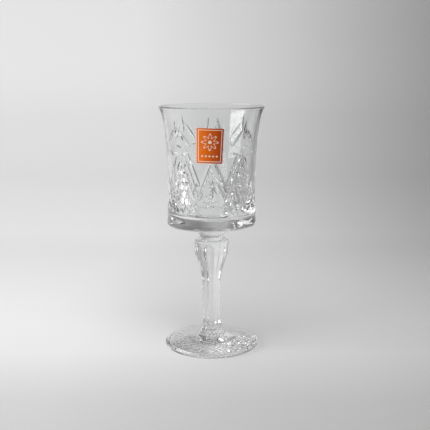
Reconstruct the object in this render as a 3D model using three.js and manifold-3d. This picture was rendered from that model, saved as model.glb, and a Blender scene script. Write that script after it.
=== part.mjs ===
// Stemmed juice glass of clear pressed glass: a flared bowl with mitre-cut ornament, a merese,
// an eight-sided baluster stem, a round foot with a diamond-cut underside, and a label on the bowl.
// Millimetres, +Z up. The glass stands on z = 0 with its axis on Z, and its front faces -Y.
// Angles are in degrees round the axis from the front, positive towards +X.
import * as THREE from "three";
import { mergeVertices } from "three/addons/utils/BufferGeometryUtils.js";
import Module from "manifold-3d";

const wasm = await Module();
wasm.setup();

// Foot
const FOOT_RADIUS = 33.1;
const FOOT_EDGE_HEIGHT = 3.2;
const FOOT_EDGE_ROUND = 1.4;
const FOOT_RING_WIDTH = 2.4;
const FOOT_RECESS = 0.8;
const FOOT_DOME = 1.0;
const FOOT_CROWN_RISE = 5.0;
const FLARE_HEIGHT = 9.8;
const FLARE_RADIUS = 11.2;
const FLARE_NECK_BEND = 4.5;
const FLARE_SINK = 1;

// Diamond cuts under the foot: two families of V grooves that lean opposite ways
const LATTICE_GROOVES = 20;
const LATTICE_BAND = 13;
const LATTICE_MARGIN = 0.8;
const LATTICE_LEAN = 26;
const LATTICE_CUT_WIDTH = 1.6;
const LATTICE_SLOPE = 5;
const LATTICE_BELLY = 0.35;

// Stem
const STEM_SIDES = 8;
const STEM_TURN = -9.3;
const SHAFT_RADIUS = 6.1;
const SHAFT_TOP_RADIUS = 6.5;
const SHAFT_LENGTH = 24.6;
const TAPER_LENGTH = 26;
const HEAD_RADIUS = 12.1;
const HEAD_LENGTH = 8.4;
const HEAD_SHOULDER = 1.6;
const FACET_RISE = 3.2;
const FACET_RUNOUT = 3.6;
const FACET_DEPTH_RATIO = 0.95;
const TAPER_SHAFT_PULL = 0.58;
const TAPER_HEAD_PULL = 0.15;

// Merese
const MERESE_HEIGHT = 6;
const MERESE_NECK_RADIUS = 7.6;
const MERESE_TOP_RADIUS = 12;
const MERESE_PULL = 0.6;

// Bowl
const PAD_LEDGE = 0.5;
const UNDERSIDE_RISE = 4.8;
const BASE_RADIUS = 31.1;
const BASE_ROUND = 1.3;
const BASE_TO_WAIST = 27.2;
const WAIST_RADIUS = 30.3;
const WAIST_TO_RIM = 55;
const RIM_RADIUS = 36.4;
const LIP_FLARE = 2.2;
const LIP_SHARPNESS = 12;
const BODY_WALL = 3.4;
const RIM_WALL = 1.7;
const FLOOR_THICKNESS = 11;
const FLOOR_ROUND = 5;

// Ornament on the bowl: it repeats round the axis, and each repeat is a clear panel with a
// spiked diamond field on both sides. The first panel's middle is turned a little from the front.
const PANELS = 4;
const PANEL_TURN = -1.5;
const PLAIN_BAND = 8;
const PLAIN_FOOT = 11;
const MITRE_SLOPE = 1.15;
const MITRE_POINT = 0.7;
const FIELD_PITCH = 8;
const FIELD_LINES = 7;
const FIELD_CUT_WIDTH = 2.8;
const FIELD_BARS = [0.09, 0.2, 0.31, 0.42];
const FIELD_BAR_WIDTH = 1.8;

// Label
const LABEL_WIDTH = 17.3;
const LABEL_HEIGHT = 23;
const LABEL_THICKNESS = 0.2;
const LABEL_GAP = 0.3;
const LABEL_DROP = 13;
const LABEL_TURN = -1.8;
const LABEL_TILT = 2;

// Fineness of the solids
const ROUND_SEGMENTS = 48;
const STEM_SEGMENTS = 32;
const WALL_STEPS = 7;
const WALL_CROWDING = 1.8;
const ARC_STEPS = 3;
const CURVE_STEPS = 8;
const CUTTER_STEP = 14;
const CUTTER_LEAST_STEPS = 3;
const CUTTER_LIFT = 0.6;
const CUTTER_RUNOUT = 0.03;
const LABEL_STEPS_ACROSS = 8;
const LABEL_STEPS_UP = 5;

// Levels up the axis, and the widths that follow from the sizes above
const crownZ = FOOT_EDGE_HEIGHT + FOOT_CROWN_RISE;
const footTopZ = crownZ + FLARE_HEIGHT;
const stemTopZ = footTopZ + SHAFT_LENGTH + TAPER_LENGTH + HEAD_LENGTH;
const padZ = stemTopZ + MERESE_HEIGHT;
const baseZ = padZ + UNDERSIDE_RISE;
const waistZ = baseZ + BASE_TO_WAIST;
const rimZ = waistZ + WAIST_TO_RIM;
const lipZ = rimZ - RIM_WALL / 2;
const floorZ = padZ + FLOOR_THICKNESS;
const ornamentFootZ = baseZ + PLAIN_FOOT;
const ornamentTopZ = rimZ - PLAIN_BAND;
const ringOuterRadius = FOOT_RADIUS - FOOT_EDGE_ROUND;
const ringInnerRadius = ringOuterRadius - FOOT_RING_WIDTH;
const fieldAxis = 180 / PANELS;

const radians = THREE.MathUtils.degToRad;

// A solid of revolution about Z from (radius, height) points, turned by an angle in degrees.
function turned(points, segments, turn = 0) {
  const geometry = new THREE.LatheGeometry(points, segments);
  geometry.rotateX(Math.PI / 2);
  geometry.rotateZ(radians(turn));
  return geometry;
}

// Points of a circular arc, from one angle to another, in the (radius, height) plane.
function arc(radius, height, size, fromAngle, toAngle) {
  const curve = new THREE.EllipseCurve(
    radius, height, size, size, radians(fromAngle), radians(toAngle), toAngle < fromAngle);
  return curve.getPoints(ARC_STEPS);
}

function point(radius, height) {
  return new THREE.Vector2(radius, height);
}

// A closed geometry as a solid that can be cut and joined.
function solid(geometry) {
  const bare = geometry.clone();
  bare.deleteAttribute("normal");
  bare.deleteAttribute("uv");
  const merged = mergeVertices(bare);
  const corners = merged.index.array;
  const triangles = [];
  for (let i = 0; i < corners.length; i += 3) {
    const [a, b, c] = corners.slice(i, i + 3);
    if (a !== b && b !== c && c !== a) {
      triangles.push(a, b, c);
    }
  }
  return new wasm.Manifold(new wasm.Mesh({
    numProp: 3,
    vertProperties: new Float32Array(merged.attributes.position.array),
    triVerts: new Uint32Array(triangles),
  }));
}

// A cut or joined solid as a geometry again.
function shape(manifold) {
  const mesh = manifold.getMesh();
  const geometry = new THREE.BufferGeometry();
  geometry.setAttribute("position", new THREE.BufferAttribute(mesh.vertProperties, mesh.numProp));
  geometry.setIndex(new THREE.BufferAttribute(mesh.triVerts, 1));
  geometry.computeVertexNormals();
  return geometry;
}

// A mitre cut's tool: a V-shaped keel along a path on a surface, with both ends running out of the
// glass. place(t) gives a point of the path and the surface's normal there; slope is the V's half width
// over its depth; belly is the share of the path at which the cut is widest.
function mitreTool(place, width, slope, steps, belly = 0.5) {
  const depth = width / 2 / slope;
  const corners = [];
  for (let i = 0; i <= steps; i += 1) {
    const t = i / steps;
    const { position, normal } = place(t);
    const along = place(Math.min(t + 0.01, 1)).position.sub(place(Math.max(t - 0.01, 0)).position);
    const side = new THREE.Vector3().crossVectors(along, normal).normalize();
    const fullness = t < belly ? t / belly : (1 - t) / (1 - belly);
    const reach = depth * Math.sin(fullness * Math.PI / 2) ** MITRE_POINT - CUTTER_RUNOUT;
    const half = slope * (reach + CUTTER_LIFT);
    const top = position.clone().addScaledVector(normal, CUTTER_LIFT);
    corners.push(position.clone().addScaledVector(normal, -reach));
    corners.push(top.clone().addScaledVector(side, half));
    corners.push(top.clone().addScaledVector(side, -half));
  }
  const faces = [0, 1, 2];
  for (let i = 0; i < steps; i += 1) {
    for (let j = 0; j < 3; j += 1) {
      const a = 3 * i + j;
      const b = 3 * i + (j + 1) % 3;
      faces.push(a, b + 3, b, a, a + 3, b + 3);
    }
  }
  faces.push(3 * steps, 3 * steps + 2, 3 * steps + 1);
  const geometry = new THREE.BufferGeometry().setFromPoints(corners);
  geometry.setIndex(faces);
  return solid(geometry);
}

// Radius of the bowl's outside at a height: a waist, a swell to the base, a flare and a turned-out lip.
function outerRadius(z) {
  if (z < waistZ) {
    const down = (waistZ - z) / BASE_TO_WAIST;
    return WAIST_RADIUS + (BASE_RADIUS - WAIST_RADIUS) * down ** 2;
  }
  const up = (z - waistZ) / (lipZ - waistZ);
  const bodyFlare = RIM_RADIUS - LIP_FLARE - WAIST_RADIUS;
  return WAIST_RADIUS + bodyFlare * up ** 2 + LIP_FLARE * up ** LIP_SHARPNESS;
}

// Radius of the bowl's smooth inside, straight below the waist.
function innerRadius(z) {
  const up = Math.max(0, (z - waistZ) / (lipZ - waistZ));
  return outerRadius(Math.max(z, waistZ)) - BODY_WALL + (BODY_WALL - RIM_WALL) * up;
}

// A point on the bowl's outside and the outward normal there.
function onBowl(angle, z) {
  const radius = outerRadius(z);
  const slope = (outerRadius(z + 0.1) - outerRadius(z - 0.1)) / 0.2;
  const outward = new THREE.Vector3(Math.sin(radians(angle)), -Math.cos(radians(angle)), 0);
  const position = outward.clone().multiplyScalar(radius).setZ(z);
  const normal = outward.clone().setZ(-slope).normalize();
  return { position, normal };
}

// A straight cut on the unrolled bowl, between two places given as an angle from the panel's middle
// and a level, from 0 at the ornament's foot to 1 at its top.
function bowlCut(panelTurn, cut, mirror) {
  const [fromAngle, fromLevel] = cut.from;
  const [toAngle, toLevel] = cut.to;
  const height = ornamentTopZ - ornamentFootZ;
  const run = height * Math.abs(toLevel - fromLevel);
  const sweep = WAIST_RADIUS * radians(Math.abs(toAngle - fromAngle));
  const steps = Math.max(CUTTER_LEAST_STEPS, Math.ceil(Math.hypot(run, sweep) / CUTTER_STEP));
  const place = (t) => onBowl(
    panelTurn + mirror * THREE.MathUtils.lerp(fromAngle, toAngle, t),
    ornamentFootZ + height * THREE.MathUtils.lerp(fromLevel, toLevel, t));
  return mitreTool(place, cut.width, MITRE_SLOPE, steps, cut.belly);
}

// The line that bounds the diamond field on the panel's side.
const fieldEdge = { from: [43.5, 0.62], to: [13.5, 0.02], width: 2.8 };

// The cuts on one side of a panel's middle.
const sideCuts = [
  fieldEdge,
  { from: [-2, 0.52], to: [27.5, 0.0], width: 3.4 },
  { from: [5.5, 0.95], to: [16, 0.56], width: 2.4, belly: 0.3 },
  { from: [-7, 0.23], to: [7, 0.07], width: 1.6 },
  { from: [20, 0.16], to: [34, 0.2], width: 1.8 },
  { from: [41.5, 0.9], to: [25, 0.71], width: 2.4 },
  { from: [24, 0.665], to: [40, 0.62], width: 1.8 },
];

// The cuts that lie across a panel's middle, and the spike over the diamond field.
const middleCuts = [
  { from: [-11, 0.15], to: [11, 0.15], width: 1.8 },
  { from: [0, 0.04], to: [0, 0.28], width: 1.8 },
  { from: [fieldAxis, 1.0], to: [fieldAxis, 0.79], width: 3.2, belly: 0.8 },
];

// The diamond field's cuts run beside its edge at a steady pitch, from the field's foot up to its other
// edge.
function fieldCuts() {
  const [topAngle, topLevel] = fieldEdge.from;
  const [footAngle, footLevel] = fieldEdge.to;
  const lean = (topAngle - footAngle) / (topLevel - footLevel);
  const cuts = [];
  for (let line = 1; line <= FIELD_LINES; line += 1) {
    const shift = line * FIELD_PITCH;
    const crossing = topLevel - (shift - 2 * (fieldAxis - topAngle)) / (2 * lean);
    const reach = Math.min(crossing, topLevel);
    cuts.push({
      from: [topAngle + shift - lean * (topLevel - reach), reach],
      to: [topAngle + shift - lean * topLevel, 0],
      width: FIELD_CUT_WIDTH,
    });
  }
  return cuts;
}

// Level cuts across the diamond field, from edge to edge.
function fieldBars() {
  const [topAngle, topLevel] = fieldEdge.from;
  const [footAngle, footLevel] = fieldEdge.to;
  return FIELD_BARS.map((level) => {
    const edge = THREE.MathUtils.mapLinear(level, footLevel, topLevel, footAngle, topAngle);
    return { from: [edge, level], to: [2 * fieldAxis - edge, level], width: FIELD_BAR_WIDTH };
  });
}

function makeBowl() {
  const wallPoints = (radiusAt, footZ, topZ) => {
    const points = [];
    for (let i = 0; i <= WALL_STEPS; i += 1) {
      const share = 1 - (1 - i / WALL_STEPS) ** WALL_CROWDING;
      const z = THREE.MathUtils.lerp(footZ, topZ, share);
      points.push(point(radiusAt(z), z));
    }
    return points;
  };
  const floorRadius = WAIST_RADIUS - BODY_WALL;
  const profile = [
    point(0, padZ),
    point(MERESE_TOP_RADIUS + PAD_LEDGE, padZ),
    ...arc(BASE_RADIUS - BASE_ROUND, baseZ + BASE_ROUND, BASE_ROUND, -80, -10),
    ...wallPoints(outerRadius, baseZ + 2 * BASE_ROUND, lipZ),
    ...arc(outerRadius(lipZ) - RIM_WALL / 2, lipZ, RIM_WALL / 2, 30, 150),
    ...wallPoints(innerRadius, floorZ + FLOOR_ROUND, lipZ).reverse(),
    ...arc(floorRadius - FLOOR_ROUND, floorZ + FLOOR_ROUND, FLOOR_ROUND, -20, -90),
    point(0, floorZ),
  ];
  let bowl = solid(turned(profile, ROUND_SEGMENTS));
  const cuts = [...sideCuts, ...fieldCuts()];
  for (let panel = 0; panel < PANELS; panel += 1) {
    const turn = PANEL_TURN + panel * 360 / PANELS;
    for (const cut of cuts) {
      bowl = bowl.subtract(bowlCut(turn, cut, 1));
      bowl = bowl.subtract(bowlCut(turn, cut, -1));
    }
    for (const cut of [...middleCuts, ...fieldBars()]) {
      bowl = bowl.subtract(bowlCut(turn, cut, 1));
    }
  }
  return shape(bowl);
}

function makeMerese() {
  const side = new THREE.QuadraticBezierCurve(
    point(MERESE_NECK_RADIUS, stemTopZ),
    point(MERESE_NECK_RADIUS, stemTopZ + MERESE_PULL * MERESE_HEIGHT),
    point(MERESE_TOP_RADIUS, padZ));
  const profile = [point(0, stemTopZ), ...side.getPoints(CURVE_STEPS), point(0, padZ)];
  return turned(profile, STEM_SEGMENTS);
}

// A turned solid with flat panels ground along it. Each place on its outline has a radius, a height
// and a facet: how near the axis the panels lie, as a share of the radius.
function panelled(outline) {
  const first = outline[0];
  const last = outline[outline.length - 1];
  const round = [
    point(0, first.height),
    ...outline.map((place) => point(place.radius, place.height)),
    point(0, last.height),
  ];
  const cornerRadius = (place) => place.radius * place.facet / Math.cos(Math.PI / STEM_SIDES);
  const flats = [
    point(0, first.height - 1),
    point(cornerRadius(first), first.height - 1),
    ...outline.map((place) => point(cornerRadius(place), place.height)),
    point(cornerRadius(last), last.height + 1),
    point(0, last.height + 1),
  ];
  const flatTurn = STEM_TURN + 180 / STEM_SIDES;
  return solid(turned(round, STEM_SEGMENTS)).intersect(solid(turned(flats, STEM_SIDES, flatTurn)));
}

function makeStem() {
  const taperZ = footTopZ + SHAFT_LENGTH;
  const headZ = taperZ + TAPER_LENGTH;
  const taper = new THREE.CubicBezierCurve(
    point(SHAFT_TOP_RADIUS, taperZ),
    point(SHAFT_TOP_RADIUS, taperZ + TAPER_SHAFT_PULL * TAPER_LENGTH),
    point(HEAD_RADIUS, headZ - TAPER_HEAD_PULL * TAPER_LENGTH),
    point(HEAD_RADIUS, headZ));
  const outline = [
    point(SHAFT_RADIUS, footTopZ),
    ...taper.getPoints(CURVE_STEPS),
    point(HEAD_RADIUS, headZ + FACET_RISE),
    point(HEAD_RADIUS, stemTopZ - HEAD_SHOULDER),
    ...arc(HEAD_RADIUS - HEAD_SHOULDER, stemTopZ - HEAD_SHOULDER, HEAD_SHOULDER, 20, 90),
  ];
  return shape(panelled(outline.map((place) => {
    const runout = Math.max(0, (place.y - headZ - FACET_RISE) / FACET_RUNOUT);
    const facet = FACET_DEPTH_RATIO + (1 - FACET_DEPTH_RATIO) * runout;
    return { radius: place.x, height: place.y, facet };
  })));
}

// Height of the foot's underside inside the resting ring: a shallow dome.
function undersideHeight(radius) {
  return FOOT_RECESS + FOOT_DOME * (1 - (radius / ringInnerRadius) ** 2);
}

function makeFoot() {
  const dome = [];
  for (let i = 0; i <= ARC_STEPS; i += 1) {
    const radius = ringInnerRadius * i / ARC_STEPS;
    dome.push(point(radius, undersideHeight(radius)));
  }
  const profile = [
    ...dome,
    point(ringInnerRadius + FOOT_RECESS, 0),
    point(ringOuterRadius, 0),
    ...arc(ringOuterRadius, FOOT_EDGE_ROUND, FOOT_EDGE_ROUND, -50, 0),
    ...arc(ringOuterRadius, FOOT_EDGE_HEIGHT - FOOT_EDGE_ROUND, FOOT_EDGE_ROUND, 0, 75),
    point(FLARE_RADIUS - FLARE_SINK, crownZ),
    point(0, crownZ),
  ];
  const flare = new THREE.QuadraticBezierCurve(
    point(FLARE_RADIUS, crownZ - FLARE_SINK),
    point(SHAFT_RADIUS, footTopZ - FLARE_NECK_BEND),
    point(SHAFT_RADIUS, footTopZ));
  const middle = panelled(flare.getPoints(CURVE_STEPS).map(
    (place) => ({ radius: place.x, height: place.y, facet: FACET_DEPTH_RATIO })));
  let foot = solid(turned(profile, ROUND_SEGMENTS)).add(middle);

  const outer = ringInnerRadius - LATTICE_MARGIN;
  const down = new THREE.Vector3(0, 0, -1);
  for (let groove = 0; groove < LATTICE_GROOVES; groove += 1) {
    for (const lean of [LATTICE_LEAN, -LATTICE_LEAN]) {
      const place = (t) => {
        const angle = radians(groove * 360 / LATTICE_GROOVES + lean * (t - 0.5));
        const radius = outer - LATTICE_BAND * t;
        const position = new THREE.Vector3(
          radius * Math.sin(angle), -radius * Math.cos(angle), undersideHeight(radius));
        return { position, normal: down };
      };
      foot = foot.subtract(
        mitreTool(place, LATTICE_CUT_WIDTH, LATTICE_SLOPE, CUTTER_LEAST_STEPS, LATTICE_BELLY));
    }
  }
  return shape(foot);
}

// A thin sheet bent to the bowl, a hair off the glass so that it bridges the cuts.
function makeLabel() {
  const geometry = new THREE.BoxGeometry(
    LABEL_WIDTH, LABEL_THICKNESS, LABEL_HEIGHT, LABEL_STEPS_ACROSS, 1, LABEL_STEPS_UP);
  const places = geometry.attributes.position;
  const middleZ = rimZ - LABEL_DROP - LABEL_HEIGHT / 2;
  const tilt = radians(LABEL_TILT);
  for (let i = 0; i < places.count; i += 1) {
    const across = places.getX(i) * Math.cos(tilt) + places.getZ(i) * Math.sin(tilt);
    const up = places.getZ(i) * Math.cos(tilt) - places.getX(i) * Math.sin(tilt);
    const angle = LABEL_TURN + THREE.MathUtils.radToDeg(across / outerRadius(middleZ));
    const { position, normal } = onBowl(angle, middleZ + up);
    position.addScaledVector(normal, LABEL_GAP + LABEL_THICKNESS / 2 - places.getY(i));
    places.setXYZ(i, position.x, position.y, position.z);
  }
  return geometry;
}

const glass = () => new THREE.MeshStandardMaterial({
  color: 0xf1f4f3, roughness: 0.04, metalness: 0, transparent: true, opacity: 0.35,
});
const print = () => new THREE.MeshStandardMaterial({ color: 0xe2580a, roughness: 0.4, metalness: 0 });

const juiceGlass = new THREE.Group();
const pieces = [
  ["foot", makeFoot(), glass()],
  ["stem", makeStem(), glass()],
  ["merese", makeMerese(), glass()],
  ["bowl", makeBowl(), glass()],
  ["label", makeLabel(), print()],
];
for (const [name, geometry, material] of pieces) {
  const mesh = new THREE.Mesh(geometry, material);
  mesh.name = name;
  juiceGlass.add(mesh);
}

export default juiceGlass;
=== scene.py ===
# Looks of the stemmed juice glass: fine pressed-glass surfaces, a printed label, floor, light and camera.
# Metres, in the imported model's frame: +Z up, the front faces -Y. Angles are in degrees round the axis
# from the front, positive towards +X.
import math

import bpy
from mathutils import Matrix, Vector


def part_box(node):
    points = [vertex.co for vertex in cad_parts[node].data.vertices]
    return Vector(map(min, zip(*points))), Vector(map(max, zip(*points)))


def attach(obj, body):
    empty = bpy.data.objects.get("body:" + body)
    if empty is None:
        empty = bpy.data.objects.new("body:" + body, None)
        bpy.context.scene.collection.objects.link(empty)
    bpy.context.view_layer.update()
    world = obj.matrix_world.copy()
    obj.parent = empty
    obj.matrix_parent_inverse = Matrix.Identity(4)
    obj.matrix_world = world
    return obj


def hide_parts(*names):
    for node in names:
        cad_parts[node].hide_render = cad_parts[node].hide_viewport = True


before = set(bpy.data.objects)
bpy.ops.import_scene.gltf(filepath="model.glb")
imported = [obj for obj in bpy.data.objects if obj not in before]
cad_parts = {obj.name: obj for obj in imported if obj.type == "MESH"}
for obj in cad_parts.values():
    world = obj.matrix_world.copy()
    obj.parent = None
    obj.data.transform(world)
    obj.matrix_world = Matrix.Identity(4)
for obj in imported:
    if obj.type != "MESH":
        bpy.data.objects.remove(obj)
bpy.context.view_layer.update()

MM = 0.001

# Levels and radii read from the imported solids
foot_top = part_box("foot")[1].z
foot_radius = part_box("foot")[1].x
stem_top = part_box("stem")[1].z
head_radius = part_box("stem")[1].x
pad_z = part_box("merese")[1].z
merese_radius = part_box("merese")[1].x
rim_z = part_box("bowl")[1].z
rim_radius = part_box("bowl")[1].x

# Foot
FOOT_EDGE_HEIGHT = 3.2 * MM
FOOT_EDGE_ROUND = 1.4 * MM
FOOT_RING_WIDTH = 2.4 * MM
FOOT_RECESS = 0.8 * MM
FOOT_DOME = 1.0 * MM
FLARE_HEIGHT = 9.8 * MM
FLARE_RADIUS = 11.2 * MM
FLARE_NECK_BEND = 4.5 * MM
FLARE_SINK = 1.0 * MM
LATTICE_GROOVES = 28
LATTICE_BAND = 13 * MM
LATTICE_MARGIN = 0.8 * MM
LATTICE_LEAN = 26
LATTICE_CUT_WIDTH = 1.5 * MM
LATTICE_SLOPE = 4.5
LATTICE_BELLY = 0.35

# Stem
STEM_SIDES = 8
STEM_TURN = -9.3
SHAFT_RADIUS = 6.1 * MM
SHAFT_TOP_RADIUS = 6.5 * MM
SHAFT_LENGTH = 24.6 * MM
HEAD_LENGTH = 8.4 * MM
HEAD_SHOULDER = 1.6 * MM
FACET_RISE = 3.2 * MM
FACET_RUNOUT = 3.6 * MM
FACET_DEPTH_RATIO = 0.95
FACET_EDGE = math.degrees(math.acos(FACET_DEPTH_RATIO))
FACET_HOLLOW = 0.04
TAPER_SHAFT_PULL = 0.58
TAPER_HEAD_PULL = 0.15

# Merese
MERESE_NECK_RADIUS = 7.6 * MM
MERESE_PULL = 0.6

# Bowl
PAD_LEDGE = 0.5 * MM
UNDERSIDE_RISE = 4.8 * MM
BASE_RADIUS = 31.1 * MM
BASE_ROUND = 1.3 * MM
BASE_TO_WAIST = 27.2 * MM
WAIST_RADIUS = 30.3 * MM
LIP_FLARE = 2.2 * MM
LIP_SHARPNESS = 12
BODY_WALL = 3.4 * MM
RIM_WALL = 1.7 * MM
FLOOR_THICKNESS = 11 * MM
FLOOR_ROUND = 5 * MM

# Ornament
PANELS = 4
PANEL_TURN = -1.5
PLAIN_BAND = 8 * MM
PLAIN_FOOT = 11 * MM
MITRE_SLOPE = 1.15
MITRE_POINT = 0.7
FIELD_PITCH = 8
FIELD_LINES = 7
FIELD_CUT_WIDTH = 2.8 * MM
FIELD_BARS = (0.09, 0.2, 0.31, 0.42)
FIELD_BAR_WIDTH = 1.8 * MM

# Label
LABEL_WIDTH = 17.3 * MM
LABEL_HEIGHT = 23 * MM
LABEL_THICKNESS = 0.15 * MM
LABEL_GAP = 0.1 * MM
LABEL_CORNER = 0.7 * MM
LABEL_DROP = 13 * MM
LABEL_TURN = -1.8
LABEL_TILT = 2
LABEL_ORANGE = (0.9, 0.19, 0.013, 1)
# Painted shade, partly a printed gradient: the orange that the film darkens to at its right side, away from
# the window
LABEL_ORANGE_SHADED = (0.38, 0.043, 0.0035, 1)
LABEL_CREAM = (0.78, 0.73, 0.64, 1)
LABEL_FLECK_SCALE = 900
LABEL_FLECK_SWAY = 0.2
LABEL_SPECULAR = 0.12
LABEL_ROUGHNESS = 0.3
LABEL_ROUGHNESS_SPREAD = 0.15
BACKING_COLOUR = (0.7, 0.62, 0.55, 1)
BACKING_GRAIN_SCALE = 1200
BACKING_ROUGHNESS = (0.5, 0.7)

# Glass, with the noise that makes it hazy and wavy
GLASS_TINT = (0.98, 0.987, 0.985, 1)
GLASS_IOR = 1.52
HAZE_SCALE = 90
HAZE_DETAIL = 3
HAZE_FROM = (0.4, 0.8)
HAZE_ROUGHNESS = 0.03
WAVE_SCALE = 140
WAVE_DETAIL = 1
WAVE_STRENGTH = 0.12
WAVE_HEIGHT = 0.1 * MM

# Label print, in millimetres on the film
PRINT_INSET = 1.2
PRINT_LINE = 0.4
ROSETTE_RISE = 2.4
ROSETTE_LOBES = 8
ROSETTE_RADIUS = 4.0
ROSETTE_SWING = 1.3
ROSETTE_LINE = 0.7
ROSETTE_HEART = 1.1
DOT_PITCH = 2.4
DOT_DROP = 6.8
DOT_SIZE = 0.75
DOT_ROW = 12

# Fineness of the meshes
ROUND_SEGMENTS = 240
ARC_STEPS = 10
CURVE_STEPS = 40
WALL_STEPS = 60
HEAD_STEPS = 16
CUTTER_STEP = 1.5 * MM
CUTTER_LIFT = 0.6 * MM
CUTTER_RUNOUT = 0.01 * MM
CUTTER_LEAST_STEPS = 4
TANGENT_STEP = 0.01
SLOPE_STEP = 0.1 * MM
LEAST_FACET = 0.4
WELD_FLATNESS = 0.99
WELD_REACH = 0.01 * MM
LABEL_STEPS_ACROSS = 40
LABEL_STEPS_UP = 54
FLAT_STATIONS = (-1, -0.93, -0.7, -0.35, 0, 0.35, 0.7, 0.93, 1)
CORNER_STEPS = 3
JOINT_HEART = 0.1 * MM
SHARP_ANGLE = 12
SOFT_ANGLE = 50

# Camera, from the photograph's frame
PHOTO_SIZE = 430
FOCAL_PIXELS = 777.6
SENSOR_WIDTH = 36
CAMERA_PLACE = Vector((2.4, -535.5, 196)) * MM
CAMERA_DIP = 10.8
CAMERA_NEAR = 0.01

# Stage and light. The sweep's colour holds painted light and shade, given as (place in metres, grey) stops
# across, in depth and up the sweep.
FLOOR_GAP = 0.1 * MM
SWEEP_FRONT = -2.0
SWEEP_BACK = 0.55
SWEEP_BEND = 0.25
SWEEP_TOP = 1.5
SWEEP_SIDE = 1.8
# Painted light and shade across: palest near the glass on the window's side, darker to the right, with a
# painted shadow band near 0.32 m where the bowl's shadow falls, and darker again far to the left
PAINTED_SHADE_ACROSS = [
    (-1.8, 0.5), (-0.9, 0.4), (-0.5, 0.55), (-0.34, 0.91), (-0.1, 0.96), (0.0, 0.87), (0.1, 0.785),
    (0.2, 0.64), (0.32, 0.47), (0.4, 0.52), (0.75, 0.8), (1.8, 0.8)]
# Painted shade in depth: darker in front and in the fold where the floor bends up into the wall
PAINTED_SHADE_DEEP = [
    (-0.35, 0.45), (-0.1, 0.68), (-0.02, 0.86), (0.04, 0.9), (0.1, 0.9), (0.35, 0.84), (0.46, 0.71),
    (0.52, 0.74), (0.55, 0.83)]
# Painted shade up the sweep: the wall darker above 0.3 m
PAINTED_SHADE_RISE = [(0.0, 1.0), (0.29, 1.0), (0.42, 0.55), (1.5, 0.6)]
CLOTH_ROUGHNESS = 0.9
CLOTH_SPECULAR = 0.2

# Room and lamps. Dark spots are (azimuth, elevation, spread, share of the light left).
ROOM_LEVEL = 0.4
ROOM_SLOPE = (-0.1, 0.24, 0.0)
ROOM_LEAST = 0.03
ROOM_SEEN = 0.55
ROOM_DARKS = [(122, 56, 31, 0.3), (105, 38, 12, 0.2)]
ROOM_DARK_EDGE = (1.3, 0.7)
WINDOW_PLACE = (-0.891, -0.256, 0.31)
WINDOW_AIM = (0, 0, 0.12)
WINDOW_SIZE = (0.75, 0.42)
WINDOW_RADIANCE = 4.6
CEILING_PLACE = (-0.2, -0.9, 1.5)
CEILING_AIM = (0, 0.1, 0)
CEILING_SIZE = (2.4, 1.6)
CEILING_RADIANCE = 2.15
GLASS_BOUNCES = 32
GLOSSY_BOUNCES = 12

crown_z = foot_top - FLARE_HEIGHT
ring_outer = foot_radius - FOOT_EDGE_ROUND
ring_inner = ring_outer - FOOT_RING_WIDTH
head_z = stem_top - HEAD_LENGTH
shoulder_z = stem_top - HEAD_SHOULDER
taper_z = foot_top + SHAFT_LENGTH
base_z = pad_z + UNDERSIDE_RISE
waist_z = base_z + BASE_TO_WAIST
lip_z = rim_z - RIM_WALL / 2
floor_z = pad_z + FLOOR_THICKNESS
ornament_foot = base_z + PLAIN_FOOT
ornament_top = rim_z - PLAIN_BAND
field_axis = 180 / PANELS


def lerp(a, b, t):
    return a + (b - a) * t


def arc(radius, height, size, from_angle, to_angle):
    """Points of a circular arc in the (radius, height) plane."""
    points = []
    for i in range(ARC_STEPS + 1):
        a = math.radians(lerp(from_angle, to_angle, i / ARC_STEPS))
        points.append((radius + size * math.cos(a), height + size * math.sin(a)))
    return points


def bezier(*controls):
    """Points of a Bezier curve through its first and last control points."""
    points = []
    for i in range(CURVE_STEPS + 1):
        t = i / CURVE_STEPS
        level = [Vector(c) for c in controls]
        while len(level) > 1:
            level = [a.lerp(b, t) for a, b in zip(level, level[1:])]
        points.append(tuple(level[0]))
    return points


def new_object(name, verts, faces):
    mesh = bpy.data.meshes.new(name)
    mesh.from_pydata(verts, [], faces)
    mesh.validate()
    piece = bpy.data.objects.new(name, mesh)
    bpy.context.scene.collection.objects.link(piece)
    return piece


def rings_to_mesh(rings, start, end):
    """Closed mesh from rings of points with equal counts, from a start point to an end point on the axis."""
    count = len(rings[0])
    verts = [start] + [p for ring in rings for p in ring] + [end]
    last = len(verts) - 1
    faces = []
    for i in range(count):
        j = (i + 1) % count
        faces.append((0, 1 + j, 1 + i))
        for k in range(len(rings) - 1):
            a = 1 + k * count
            faces.append((a + i, a + j, a + count + j, a + count + i))
        top = 1 + (len(rings) - 1) * count
        faces.append((top + i, top + j, last))
    return verts, faces


def turned(name, profile):
    """Solid of revolution from (radius, height) points that start and end on the axis."""
    rings = []
    for radius, z in profile[1:-1]:
        ring = []
        for i in range(ROUND_SEGMENTS):
            a = 2 * math.pi * i / ROUND_SEGMENTS
            ring.append((radius * math.sin(a), -radius * math.cos(a), z))
        rings.append(ring)
    start = (0, 0, profile[0][1])
    end = (0, 0, profile[-1][1])
    return new_object(name, *rings_to_mesh(rings, start, end))


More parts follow.
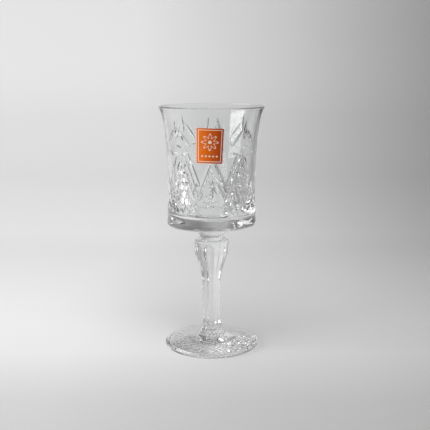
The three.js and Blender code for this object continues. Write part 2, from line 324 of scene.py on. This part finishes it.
def panelled(name, outline, inner_rings=()):
    """Turned solid with flat panels along it, from (radius, height, facet) places.

    The facet says how near the axis the panels lie, as a share of the radius. Inner rings are
    (radius, height) circles on the top face, from its edge to the axis.
    """
    step = 360 / STEM_SIDES
    rings = []
    for radius, z, facet in [*outline, *((r, h, 1.0) for r, h in inner_rings)]:
        edge = max(LEAST_FACET, math.degrees(math.acos(min(1.0, facet))))
        flat = radius * min(1.0, facet)
        ring = []
        for side in range(STEM_SIDES):
            middle = STEM_TURN + side * step
            for share in FLAT_STATIONS:
                a = edge * share
                hollow = FACET_HOLLOW * flat * (1 - share ** 2) * edge / FACET_EDGE
                reach = min(radius, flat / math.cos(math.radians(a)) - hollow)
                ring.append((reach, middle + a))
            for i in range(1, CORNER_STEPS):
                ring.append((radius, middle + lerp(edge, step - edge, i / CORNER_STEPS)))
        rings.append([(r * math.sin(math.radians(a)), -r * math.cos(math.radians(a)), z) for r, a in ring])
    bottom = (0, 0, outline[0][1])
    top = (0, 0, (inner_rings or outline)[-1][1])
    return new_object(name, *rings_to_mesh(rings, bottom, top))


def mitre_tool(place, length, width, belly, slope):
    """V-shaped keel along a path on a surface, as points and faces; both ends run out of the glass.

    place(t) gives a point of the path and the surface's normal there. belly is the share of the path
    at which the cut is widest.
    """
    steps = max(CUTTER_LEAST_STEPS, math.ceil(length / CUTTER_STEP))
    depth = width / 2 / slope
    verts = []
    for i in range(steps + 1):
        t = i / steps
        position, normal = place(t)
        along = place(min(t + TANGENT_STEP, 1))[0] - place(max(t - TANGENT_STEP, 0))[0]
        side = along.cross(normal).normalized()
        fullness = t / belly if t < belly else (1 - t) / (1 - belly)
        reach = depth * math.sin(fullness * math.pi / 2) ** MITRE_POINT - CUTTER_RUNOUT
        half = slope * (reach + CUTTER_LIFT)
        top = position + normal * CUTTER_LIFT
        verts += [position - normal * reach, top + side * half, top - side * half]
    faces = [(0, 1, 2)]
    for i in range(steps):
        for j in range(3):
            a = 3 * i + j
            b = 3 * i + (j + 1) % 3
            faces.append((a, a + 3, b + 3, b))
    faces.append((3 * steps, 3 * steps + 2, 3 * steps + 1))
    return verts, faces


def boolean(piece, tools, operation):
    """Cuts or joins a piece with a batch of tools that don't touch each other."""
    verts = []
    faces = []
    for tool_verts, tool_faces in tools:
        base = len(verts)
        verts += tool_verts
        faces += [tuple(base + i for i in face) for face in tool_faces]
    tool = new_object("tool", verts, faces)
    modifier = piece.modifiers.new("boolean", "BOOLEAN")
    modifier.operation = operation
    modifier.solver = "MANIFOLD"
    modifier.object = tool
    depsgraph = bpy.context.evaluated_depsgraph_get()
    made = bpy.data.meshes.new_from_object(piece.evaluated_get(depsgraph))
    piece.modifiers.clear()
    old = piece.data
    piece.data = made
    bpy.data.meshes.remove(old)
    tool_mesh = tool.data
    bpy.data.objects.remove(tool)
    bpy.data.meshes.remove(tool_mesh)


def finish_glass(piece, node, welds, sharp_angle=SHARP_ANGLE):
    """Shades the glass, marks its fused joint faces and puts it in its node's place.

    welds are (height, radius) of the flat joints, where the glass runs on into its neighbour.
    """
    mesh = piece.data
    mesh.materials.clear()
    mesh.materials.append(glass_material)
    mesh.materials.append(weld_material)
    for face in mesh.polygons:
        face.use_smooth = True
        face.material_index = 0
        for height, radius in welds:
            flat = abs(face.normal.z) > WELD_FLATNESS and abs(face.center.z - height) < WELD_REACH
            if flat and face.center.xy.length < radius:
                face.material_index = 1
    mesh.set_sharp_from_angle(angle=math.radians(sharp_angle))
    piece.name = node + "_glass"
    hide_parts(node)
    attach(piece, "root")


def outer_radius(z):
    """Radius of the bowl's outside: a waist, a swell to the base, a flare and a turned-out lip."""
    if z < waist_z:
        return WAIST_RADIUS + (BASE_RADIUS - WAIST_RADIUS) * ((waist_z - z) / BASE_TO_WAIST) ** 2
    up = (z - waist_z) / (lip_z - waist_z)
    body_flare = rim_radius - LIP_FLARE - WAIST_RADIUS
    return WAIST_RADIUS + body_flare * up ** 2 + LIP_FLARE * up ** LIP_SHARPNESS


def inner_radius(z):
    up = max(0, (z - waist_z) / (lip_z - waist_z))
    return outer_radius(max(z, waist_z)) - lerp(BODY_WALL, RIM_WALL, up)


def on_bowl(angle, z):
    """A point on the bowl's outside and the outward normal there."""
    slope = (outer_radius(z + SLOPE_STEP) - outer_radius(z - SLOPE_STEP)) / (2 * SLOPE_STEP)
    out = Vector((math.sin(math.radians(angle)), -math.cos(math.radians(angle)), 0))
    position = out * outer_radius(z) + Vector((0, 0, z))
    return position, (out - Vector((0, 0, slope))).normalized()


def bowl_cut(turn, cut, mirror):
    """Tool for a straight cut on the unrolled bowl, from one (angle, level) to another."""
    (from_angle, from_level), (to_angle, to_level), width, belly = cut
    height = ornament_top - ornament_foot
    length = math.hypot(
        height * (to_level - from_level), WAIST_RADIUS * math.radians(to_angle - from_angle))

    def place(t):
        angle = turn + mirror * lerp(from_angle, to_angle, t)
        return on_bowl(angle, ornament_foot + height * lerp(from_level, to_level, t))

    return mitre_tool(place, length, width, belly, MITRE_SLOPE)


# The cuts on one side of a panel's middle: from and to as (angle from the panel's middle, level),
# with level 0 at the ornament's foot and 1 at its top, the width, and where the cut is widest.
field_edge = ((43.5, 0.62), (13.5, 0.02), 2.8 * MM, 0.5)
side_cuts = [
    ((-2, 0.52), (27.5, 0.0), 3.4 * MM, 0.5),
    ((5.5, 0.95), (16, 0.56), 2.4 * MM, 0.3),
    field_edge,
    ((-7, 0.23), (7, 0.07), 1.6 * MM, 0.5),
    ((20, 0.16), (34, 0.2), 1.8 * MM, 0.5),
    ((41.5, 0.9), (25, 0.71), 2.4 * MM, 0.5),
    ((24, 0.665), (40, 0.62), 1.8 * MM, 0.5),
]
middle_cuts = [
    ((-11, 0.15), (11, 0.15), 1.8 * MM, 0.5),
    ((0, 0.04), (0, 0.28), 1.8 * MM, 0.5),
    ((field_axis, 1.0), (field_axis, 0.79), 3.2 * MM, 0.8),
]


def field_cuts():
    """Cuts beside the field's edge at a steady pitch, from the field's foot up to its other edge."""
    (top_angle, top_level), (foot_angle, foot_level), _, _ = field_edge
    lean = (top_angle - foot_angle) / (top_level - foot_level)
    cuts = []
    for line in range(1, FIELD_LINES + 1):
        shift = line * FIELD_PITCH
        crossing = top_level - (shift - 2 * (field_axis - top_angle)) / (2 * lean)
        reach = min(crossing, top_level)
        start = (top_angle + shift - lean * (top_level - reach), reach)
        cuts.append((start, (top_angle + shift - lean * top_level, 0), FIELD_CUT_WIDTH, 0.5))
    return cuts


def field_bars():
    """Level cuts across the diamond field, from edge to edge."""
    (top_angle, top_level), (foot_angle, foot_level), _, _ = field_edge
    cuts = []
    for level in FIELD_BARS:
        edge = lerp(foot_angle, top_angle, (level - foot_level) / (top_level - foot_level))
        cuts.append(((edge, level), (2 * field_axis - edge, level), FIELD_BAR_WIDTH, 0.5))
    return cuts


def make_bowl():
    def wall(radius_at, foot, top):
        return [(radius_at(z), z) for z in (lerp(foot, top, i / WALL_STEPS) for i in range(WALL_STEPS + 1))]

    floor_radius = WAIST_RADIUS - BODY_WALL
    profile = [
        (0, pad_z),
        (merese_radius, pad_z),
        (merese_radius + PAD_LEDGE, pad_z),
        *arc(BASE_RADIUS - BASE_ROUND, base_z + BASE_ROUND, BASE_ROUND, -80, -5),
        *wall(outer_radius, base_z + 2 * BASE_ROUND, lip_z),
        *arc(rim_radius - RIM_WALL / 2, lip_z, RIM_WALL / 2, 15, 165),
        *reversed(wall(inner_radius, floor_z + FLOOR_ROUND, lip_z)),
        *arc(floor_radius - FLOOR_ROUND, floor_z + FLOOR_ROUND, FLOOR_ROUND, -5, -90),
        (0, floor_z),
    ]
    bowl = turned("bowl_fine", profile)
    turns = [PANEL_TURN + panel * 360 / PANELS for panel in range(PANELS)]
    for cut in [*side_cuts, *field_cuts()]:
        for mirror in (1, -1):
            boolean(bowl, [bowl_cut(turn, cut, mirror) for turn in turns], "DIFFERENCE")
    for cut in [*middle_cuts, *field_bars()]:
        boolean(bowl, [bowl_cut(turn, cut, 1) for turn in turns], "DIFFERENCE")
    finish_glass(bowl, "bowl", [(pad_z, merese_radius)])


def make_merese():
    side = bezier(
        (MERESE_NECK_RADIUS, stem_top),
        (MERESE_NECK_RADIUS, lerp(stem_top, pad_z, MERESE_PULL)),
        (merese_radius, pad_z))
    merese = turned("merese_fine", [(0, stem_top), *side, (0, pad_z)])
    finish_glass(merese, "merese", [(stem_top, MERESE_NECK_RADIUS), (pad_z, merese_radius)])


def make_stem():
    taper = head_z - taper_z
    outline = [
        (SHAFT_RADIUS, foot_top),
        *bezier(
            (SHAFT_TOP_RADIUS, taper_z),
            (SHAFT_TOP_RADIUS, taper_z + TAPER_SHAFT_PULL * taper),
            (head_radius, head_z - TAPER_HEAD_PULL * taper),
            (head_radius, head_z)),
        *((head_radius, lerp(head_z, shoulder_z, i / HEAD_STEPS)) for i in range(1, HEAD_STEPS)),
        *arc(head_radius - HEAD_SHOULDER, shoulder_z, HEAD_SHOULDER, 0, 90),
    ]

    def facet(z):
        return lerp(FACET_DEPTH_RATIO, 1, max(0, (z - head_z - FACET_RISE) / FACET_RUNOUT))

    joint_face = [(MERESE_NECK_RADIUS, stem_top), (JOINT_HEART, stem_top)]
    stem = panelled("stem_fine", [(r, z, facet(z)) for r, z in outline], joint_face)
    finish_glass(stem, "stem", [(stem_top, MERESE_NECK_RADIUS), (foot_top, SHAFT_RADIUS)], SOFT_ANGLE)


def underside_height(radius):
    return FOOT_RECESS + FOOT_DOME * (1 - (radius / ring_inner) ** 2)


def make_foot():
    dome_radii = [ring_inner * i / CURVE_STEPS for i in range(CURVE_STEPS + 1)]
    profile = [
        *((radius, underside_height(radius)) for radius in dome_radii),
        (ring_inner + FOOT_RECESS, 0),
        (ring_outer, 0),
        *arc(ring_outer, FOOT_EDGE_ROUND, FOOT_EDGE_ROUND, -80, 0),
        *arc(ring_outer, FOOT_EDGE_HEIGHT - FOOT_EDGE_ROUND, FOOT_EDGE_ROUND, 8, 76),
        (FLARE_RADIUS - FLARE_SINK, crown_z),
        (0, crown_z),
    ]
    foot = turned("foot_fine", profile)
    flare = bezier(
        (FLARE_RADIUS, crown_z - FLARE_SINK),
        (SHAFT_RADIUS, foot_top - FLARE_NECK_BEND),
        (SHAFT_RADIUS, foot_top))
    middle = panelled("flare", [(r, z, FACET_DEPTH_RATIO) for r, z in flare])
    middle_mesh = middle.data
    shape = ([v.co.copy() for v in middle_mesh.vertices], [tuple(p.vertices) for p in middle_mesh.polygons])
    bpy.data.objects.remove(middle)
    bpy.data.meshes.remove(middle_mesh)
    boolean(foot, [shape], "UNION")
    outer = ring_inner - LATTICE_MARGIN
    down = Vector((0, 0, -1))
    for lean in (LATTICE_LEAN, -LATTICE_LEAN):
        for groove in range(LATTICE_GROOVES):
            def place(t, groove=groove, lean=lean):
                a = math.radians(groove * 360 / LATTICE_GROOVES + lean * (t - 0.5))
                r = outer - LATTICE_BAND * t
                return Vector((r * math.sin(a), -r * math.cos(a), underside_height(r))), down
            tool = mitre_tool(place, LATTICE_BAND, LATTICE_CUT_WIDTH, LATTICE_BELLY, LATTICE_SLOPE)
            boolean(foot, [tool], "DIFFERENCE")
    finish_glass(foot, "foot", [(foot_top, SHAFT_RADIUS)])
    # The floor is lit past the foot, not through it, which would leave bright specks
    foot.visible_diffuse = False
    return foot


def node_tree(material):
    material.use_nodes = True
    return material.node_tree.nodes, material.node_tree.links


def make_glass():
    """Clear soda glass with the faint waviness and haze of a pressed surface."""
    material = bpy.data.materials.new("clear_glass")
    nodes, links = node_tree(material)
    shader = nodes["Principled BSDF"]
    shader.inputs["Base Color"].default_value = GLASS_TINT
    shader.inputs["Transmission Weight"].default_value = 1
    shader.inputs["IOR"].default_value = GLASS_IOR
    place = nodes.new("ShaderNodeTexCoord")
    haze = nodes.new("ShaderNodeTexNoise")
    haze.inputs["Scale"].default_value = HAZE_SCALE
    haze.inputs["Detail"].default_value = HAZE_DETAIL
    spread = nodes.new("ShaderNodeMapRange")
    spread.inputs["From Min"].default_value = HAZE_FROM[0]
    spread.inputs["From Max"].default_value = HAZE_FROM[1]
    spread.inputs["To Min"].default_value = 0
    spread.inputs["To Max"].default_value = HAZE_ROUGHNESS
    wave = nodes.new("ShaderNodeTexNoise")
    wave.inputs["Scale"].default_value = WAVE_SCALE
    wave.inputs["Detail"].default_value = WAVE_DETAIL
    bump = nodes.new("ShaderNodeBump")
    bump.inputs["Strength"].default_value = WAVE_STRENGTH
    bump.inputs["Distance"].default_value = WAVE_HEIGHT
    links.new(place.outputs["Object"], haze.inputs["Vector"])
    links.new(place.outputs["Object"], wave.inputs["Vector"])
    links.new(haze.outputs["Fac"], spread.inputs["Value"])
    links.new(spread.outputs["Result"], shader.inputs["Roughness"])
    links.new(wave.outputs["Fac"], bump.inputs["Height"])
    links.new(bump.outputs["Normal"], shader.inputs["Normal"])
    return material


def make_weld():
    """Inner face of a fused joint: the glass runs on, so nothing shows there."""
    material = bpy.data.materials.new("fused_joint")
    nodes, links = node_tree(material)
    clear = nodes.new("ShaderNodeBsdfTransparent")
    links.new(clear.outputs["BSDF"], nodes["Material Output"].inputs["Surface"])
    nodes.remove(nodes["Principled BSDF"])
    return material


def label_print():
    """Satin orange film with a cream keyline, an eight-lobed rosette and a row of small diamonds; the orange
    darkens to the right, partly a printed gradient and partly painted shade away from the window.
    """
    material = bpy.data.materials.new("label_print")
    nodes, links = node_tree(material)
    shader = nodes["Principled BSDF"]

    def calc(operation, a, b=0.0, c=0.0):
        node = nodes.new("ShaderNodeMath")
        node.operation = operation
        for socket, value in zip(node.inputs, (a, b, c)):
            if isinstance(value, (int, float)):
                socket.default_value = value
            else:
                links.new(value, socket)
        return node.outputs["Value"]

    uv = nodes.new("ShaderNodeUVMap")
    axes = nodes.new("ShaderNodeSeparateXYZ")
    links.new(uv.outputs["UV"], axes.inputs["Vector"])
    width = LABEL_WIDTH / MM
    height = LABEL_HEIGHT / MM
    x = calc("MULTIPLY", calc("SUBTRACT", axes.outputs["X"], 0.5), width)
    y = calc("MULTIPLY", calc("SUBTRACT", axes.outputs["Y"], 0.5), height)

    frame_x = calc("SUBTRACT", calc("ABSOLUTE", x), width / 2 - PRINT_INSET)
    frame_y = calc("SUBTRACT", calc("ABSOLUTE", y), height / 2 - PRINT_INSET)
    keyline = calc("LESS_THAN", calc("ABSOLUTE", calc("MAXIMUM", frame_x, frame_y)), PRINT_LINE / 2)

    rosette_y = calc("SUBTRACT", y, ROSETTE_RISE)
    radius = calc("SQRT", calc("ADD", calc("MULTIPLY", x, x), calc("MULTIPLY", rosette_y, rosette_y)))
    turn = calc("MULTIPLY", calc("ARCTAN2", rosette_y, x), ROSETTE_LOBES)
    lobes = calc("MULTIPLY_ADD", calc("COSINE", turn), ROSETTE_SWING, ROSETTE_RADIUS)
    rosette = calc("LESS_THAN", calc("ABSOLUTE", calc("SUBTRACT", radius, lobes)), ROSETTE_LINE / 2)
    heart = calc("LESS_THAN", radius, ROSETTE_HEART)

    step = calc("ABSOLUTE", calc("WRAP", x, -DOT_PITCH / 2, DOT_PITCH / 2))
    fall = calc("ABSOLUTE", calc("ADD", y, DOT_DROP))
    dot = calc("LESS_THAN", calc("ADD", step, fall), DOT_SIZE)
    inside = calc("LESS_THAN", calc("ABSOLUTE", x), DOT_ROW / 2)
    row = calc("MULTIPLY", dot, inside)

    ink = calc("MAXIMUM", calc("MAXIMUM", keyline, rosette), calc("MAXIMUM", heart, row))
    fleck = nodes.new("ShaderNodeTexNoise")
    fleck.inputs["Scale"].default_value = LABEL_FLECK_SCALE
    shaded_ground = nodes.new("ShaderNodeMix")
    shaded_ground.data_type = "RGBA"
    shaded_ground.inputs["A"].default_value = LABEL_ORANGE
    shaded_ground.inputs["B"].default_value = LABEL_ORANGE_SHADED
    inked = nodes.new("ShaderNodeMix")
    inked.data_type = "RGBA"
    inked.inputs["B"].default_value = LABEL_CREAM
    place = nodes.new("ShaderNodeTexCoord")
    links.new(place.outputs["Object"], fleck.inputs["Vector"])
    # Painted shade, partly a printed gradient: the orange darkens across the film to its right side, swayed
    # by the flecks
    sway = calc("MULTIPLY_ADD", fleck.outputs["Fac"], LABEL_FLECK_SWAY, -LABEL_FLECK_SWAY / 2)
    shade_fade = calc("ADD", axes.outputs["X"], sway)
    links.new(shade_fade, shaded_ground.inputs["Factor"])
    links.new(shaded_ground.outputs["Result"], inked.inputs["A"])
    links.new(ink, inked.inputs["Factor"])
    links.new(inked.outputs["Result"], shader.inputs["Base Color"])
    shader.inputs["Specular IOR Level"].default_value = LABEL_SPECULAR
    sheen = calc("MULTIPLY_ADD", fleck.outputs["Fac"], LABEL_ROUGHNESS_SPREAD, LABEL_ROUGHNESS)
    links.new(sheen, shader.inputs["Roughness"])
    return material


def label_backing():
    """Pale underside of the film, seen through the glass from behind."""
    material = bpy.data.materials.new("label_backing")
    nodes, links = node_tree(material)
    shader = nodes["Principled BSDF"]
    shader.inputs["Base Color"].default_value = BACKING_COLOUR
    grain = nodes.new("ShaderNodeTexNoise")
    grain.inputs["Scale"].default_value = BACKING_GRAIN_SCALE
    spread = nodes.new("ShaderNodeMapRange")
    spread.inputs["To Min"].default_value = BACKING_ROUGHNESS[0]
    spread.inputs["To Max"].default_value = BACKING_ROUGHNESS[1]
    place = nodes.new("ShaderNodeTexCoord")
    links.new(place.outputs["Object"], grain.inputs["Vector"])
    links.new(grain.outputs["Fac"], spread.inputs["Value"])
    links.new(spread.outputs["Result"], shader.inputs["Roughness"])
    return material


def rounded_corner(u, v):
    """Moves a point of the label's rectangle so that its corners become round."""
    edge_u = LABEL_WIDTH / 2 - LABEL_CORNER
    edge_v = LABEL_HEIGHT / 2 - LABEL_CORNER
    over_u = abs(u) - edge_u
    over_v = abs(v) - edge_v
    if over_u <= 0 or over_v <= 0:
        return u, v
    pull = max(over_u, over_v) / math.hypot(over_u, over_v)
    return math.copysign(edge_u + over_u * pull, u), math.copysign(edge_v + over_v * pull, v)


def make_label():
    """Thin film bent to the bowl: an inner layer of points, an outer one, and a rim of faces between."""
    middle_z = rim_z - LABEL_DROP - LABEL_HEIGHT / 2
    tilt = math.radians(LABEL_TILT)
    verts = []
    flat = []
    for offset in (LABEL_GAP, LABEL_GAP + LABEL_THICKNESS):
        for j in range(LABEL_STEPS_UP + 1):
            for i in range(LABEL_STEPS_ACROSS + 1):
                u = lerp(-LABEL_WIDTH / 2, LABEL_WIDTH / 2, i / LABEL_STEPS_ACROSS)
                v = lerp(-LABEL_HEIGHT / 2, LABEL_HEIGHT / 2, j / LABEL_STEPS_UP)
                u, v = rounded_corner(u, v)
                across = u * math.cos(tilt) + v * math.sin(tilt)
                up = v * math.cos(tilt) - u * math.sin(tilt)
                angle = LABEL_TURN + math.degrees(across / outer_radius(middle_z))
                position, normal = on_bowl(angle, middle_z + up)
                verts.append(position + normal * offset)
                flat.append((u / LABEL_WIDTH + 0.5, v / LABEL_HEIGHT + 0.5))
    row = LABEL_STEPS_ACROSS + 1
    layer = row * (LABEL_STEPS_UP + 1)
    faces = []
    for j in range(LABEL_STEPS_UP):
        for i in range(LABEL_STEPS_ACROSS):
            a = j * row + i
            faces.append((a, a + row, a + row + 1, a + 1))
    backing_count = len(faces)
    faces += [tuple(layer + i for i in reversed(face)) for face in faces]
    edge = list(range(row))
    edge += [j * row + LABEL_STEPS_ACROSS for j in range(1, LABEL_STEPS_UP + 1)]
    edge += [LABEL_STEPS_UP * row + i for i in range(LABEL_STEPS_ACROSS - 1, -1, -1)]
    edge += [j * row for j in range(LABEL_STEPS_UP - 1, 0, -1)]
    faces += [(a, b, b + layer, a + layer) for a, b in zip(edge, edge[1:] + edge[:1])]
    label = new_object("label_film", verts, faces)
    mesh = label.data
    mesh.materials.append(label_print())
    mesh.materials.append(label_backing())
    uv = mesh.uv_layers.new(name="print")
    for face in mesh.polygons:
        face.use_smooth = True
        face.material_index = 1 if face.index < backing_count else 0
        for loop in face.loop_indices:
            uv.data[loop].uv = flat[mesh.loops[loop].vertex_index]
    mesh.set_sharp_from_angle(angle=math.radians(SHARP_ANGLE))
    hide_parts("label")
    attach(label, "root")


def make_sweep():
    """Pale floor that curves up into a back wall, its grey holding painted light and shade: palest on the
    window's side, darker to the right away from it, with a painted shadow band of the bowl, darker in front,
    in the fold and high on the wall.
    """
    profile = [(SWEEP_FRONT, 0.0)]
    for i in range(ARC_STEPS + 1):
        a = math.radians(90 * i / ARC_STEPS)
        profile.append((
            SWEEP_BACK - SWEEP_BEND + SWEEP_BEND * math.sin(a), SWEEP_BEND - SWEEP_BEND * math.cos(a)))
    profile.append((SWEEP_BACK, SWEEP_TOP))
    verts = []
    for y, z in profile:
        verts += [(-SWEEP_SIDE, y, z - FLOOR_GAP), (SWEEP_SIDE, y, z - FLOOR_GAP)]
    faces = [(2 * i, 2 * i + 1, 2 * i + 3, 2 * i + 2) for i in range(len(profile) - 1)]
    sweep = new_object("sweep", verts, faces)
    for face in sweep.data.polygons:
        face.use_smooth = True
    material = bpy.data.materials.new("pale_cloth")
    nodes, links = node_tree(material)
    shader = nodes["Principled BSDF"]
    shader.inputs["Roughness"].default_value = CLOTH_ROUGHNESS
    shader.inputs["Specular IOR Level"].default_value = CLOTH_SPECULAR
    place = nodes.new("ShaderNodeTexCoord")
    axes = nodes.new("ShaderNodeSeparateXYZ")
    links.new(place.outputs["Object"], axes.inputs["Vector"])

    def ramp(socket, stops):
        """Grey that follows (place, grey) stops along one axis."""
        spread = nodes.new("ShaderNodeMapRange")
        spread.inputs["From Min"].default_value = stops[0][0]
        spread.inputs["From Max"].default_value = stops[-1][0]
        shade = nodes.new("ShaderNodeValToRGB")
        elements = shade.color_ramp.elements
        for stop, grey in stops[1:-1]:
            elements.new((stop - stops[0][0]) / (stops[-1][0] - stops[0][0])).color = (grey, grey, grey, 1)
        elements[0].color = (stops[0][1], stops[0][1], stops[0][1], 1)
        elements[-1].color = (stops[-1][1], stops[-1][1], stops[-1][1], 1)
        links.new(socket, spread.inputs["Value"])
        links.new(spread.outputs["Result"], shade.inputs["Fac"])
        return shade.outputs["Color"]

    def product(a, b):
        both = nodes.new("ShaderNodeMix")
        both.data_type = "RGBA"
        both.blend_type = "MULTIPLY"
        both.inputs["Factor"].default_value = 1
        links.new(a, both.inputs["A"])
        links.new(b, both.inputs["B"])
        return both.outputs["Result"]

    # Painted light and shade: the grey is the product of the painted shade ramps across, in depth and up
    level = product(ramp(axes.outputs["X"], PAINTED_SHADE_ACROSS), ramp(axes.outputs["Y"], PAINTED_SHADE_DEEP))
    links.new(product(level, ramp(axes.outputs["Z"], PAINTED_SHADE_RISE)), shader.inputs["Base Color"])
    sweep.data.materials.append(material)


def make_room():
    """Plain room, paler behind the glass than in front, with soft dark spots high on the right.

    Seen directly, past the sweep's edges, it has one pale tone.
    """
    world = bpy.data.worlds.new("pale_room")
    world.use_nodes = True
    nodes = world.node_tree.nodes
    links = world.node_tree.links
    view = nodes.new("ShaderNodeTexCoord")
    tint = nodes.new("ShaderNodeVectorMath")
    tint.operation = "DOT_PRODUCT"
    tint.inputs[1].default_value = ROOM_SLOPE
    links.new(view.outputs["Generated"], tint.inputs[0])
    level = nodes.new("ShaderNodeMath")
    level.operation = "ADD"
    level.inputs[1].default_value = ROOM_LEVEL
    links.new(tint.outputs["Value"], level.inputs[0])
    least = nodes.new("ShaderNodeMath")
    least.operation = "MAXIMUM"
    least.inputs[1].default_value = ROOM_LEAST
    links.new(level.outputs["Value"], least.inputs[0])
    light = least.outputs["Value"]
    for azimuth, elevation, spread, share in ROOM_DARKS:
        a = math.radians(azimuth)
        e = math.radians(elevation)
        near = nodes.new("ShaderNodeVectorMath")
        near.operation = "DOT_PRODUCT"
        near.inputs[1].default_value = (
            math.sin(a) * math.cos(e), -math.cos(a) * math.cos(e), math.sin(e))
        links.new(view.outputs["Generated"], near.inputs[0])
        spot = nodes.new("ShaderNodeMapRange")
        spot.interpolation_type = "SMOOTHSTEP"
        spot.inputs["From Min"].default_value = math.cos(math.radians(spread * ROOM_DARK_EDGE[0]))
        spot.inputs["From Max"].default_value = math.cos(math.radians(spread * ROOM_DARK_EDGE[1]))
        spot.inputs["To Min"].default_value = 1
        spot.inputs["To Max"].default_value = share
        links.new(near.outputs["Value"], spot.inputs["Value"])
        dim = nodes.new("ShaderNodeMath")
        dim.operation = "MULTIPLY"
        links.new(light, dim.inputs[0])
        links.new(spot.outputs["Result"], dim.inputs[1])
        light = dim.outputs["Value"]
    path = nodes.new("ShaderNodeLightPath")
    seen = nodes.new("ShaderNodeMix")
    seen.inputs["B"].default_value = ROOM_SEEN
    links.new(path.outputs["Is Camera Ray"], seen.inputs["Factor"])
    links.new(light, seen.inputs["A"])
    links.new(seen.outputs["Result"], nodes["Background"].inputs["Color"])
    bpy.context.scene.world = world


def make_lamp(name, place, aim, width, height, radiance):
    """Flat lamp of a given brightness as seen, facing a point."""
    data = bpy.data.lights.new(name, "AREA")
    data.shape = "RECTANGLE"
    data.size = width
    data.size_y = height
    data.energy = radiance * math.pi * width * height
    lamp = bpy.data.objects.new(name, data)
    lamp.location = place
    lamp.rotation_euler = (Vector(aim) - lamp.location).to_track_quat("-Z", "Y").to_euler()
    lamp.visible_camera = False
    bpy.context.scene.collection.objects.link(lamp)
    return lamp


def let_light_through(lamp, piece):
    """Lets a lamp light what lies under a clear piece, as it does under real glass."""
    passed = bpy.data.collections.new(lamp.name + "_passes")
    passed.objects.link(piece)
    lamp.light_linking.blocker_collection = passed
    passed.collection_objects[0].light_linking.link_state = "EXCLUDE"


def make_stage(foot):
    make_sweep()
    make_room()
    make_lamp("window", WINDOW_PLACE, WINDOW_AIM, *WINDOW_SIZE, WINDOW_RADIANCE)
    ceiling = make_lamp("ceiling", CEILING_PLACE, CEILING_AIM, *CEILING_SIZE, CEILING_RADIANCE)
    ceiling.visible_glossy = False
    ceiling.visible_transmission = False
    let_light_through(ceiling, foot)


def make_camera():
    data = bpy.data.cameras.new("photo_view")
    data.sensor_width = SENSOR_WIDTH
    data.lens = FOCAL_PIXELS / PHOTO_SIZE * SENSOR_WIDTH
    data.clip_start = CAMERA_NEAR
    camera = bpy.data.objects.new("photo_view", data)
    camera.location = CAMERA_PLACE
    camera.rotation_euler = (math.radians(90 - CAMERA_DIP), 0, 0)
    bpy.context.scene.collection.objects.link(camera)
    bpy.context.scene.camera = camera


scene = bpy.context.scene
scene.view_settings.view_transform = "Standard"
scene.cycles.max_bounces = GLASS_BOUNCES
scene.cycles.transmission_bounces = GLASS_BOUNCES
scene.cycles.glossy_bounces = GLOSSY_BOUNCES
scene.cycles.transparent_max_bounces = GLASS_BOUNCES

glass_material = make_glass()
weld_material = make_weld()
make_camera()
make_stage(make_foot())
make_stem()
make_merese()
make_bowl()
make_label()
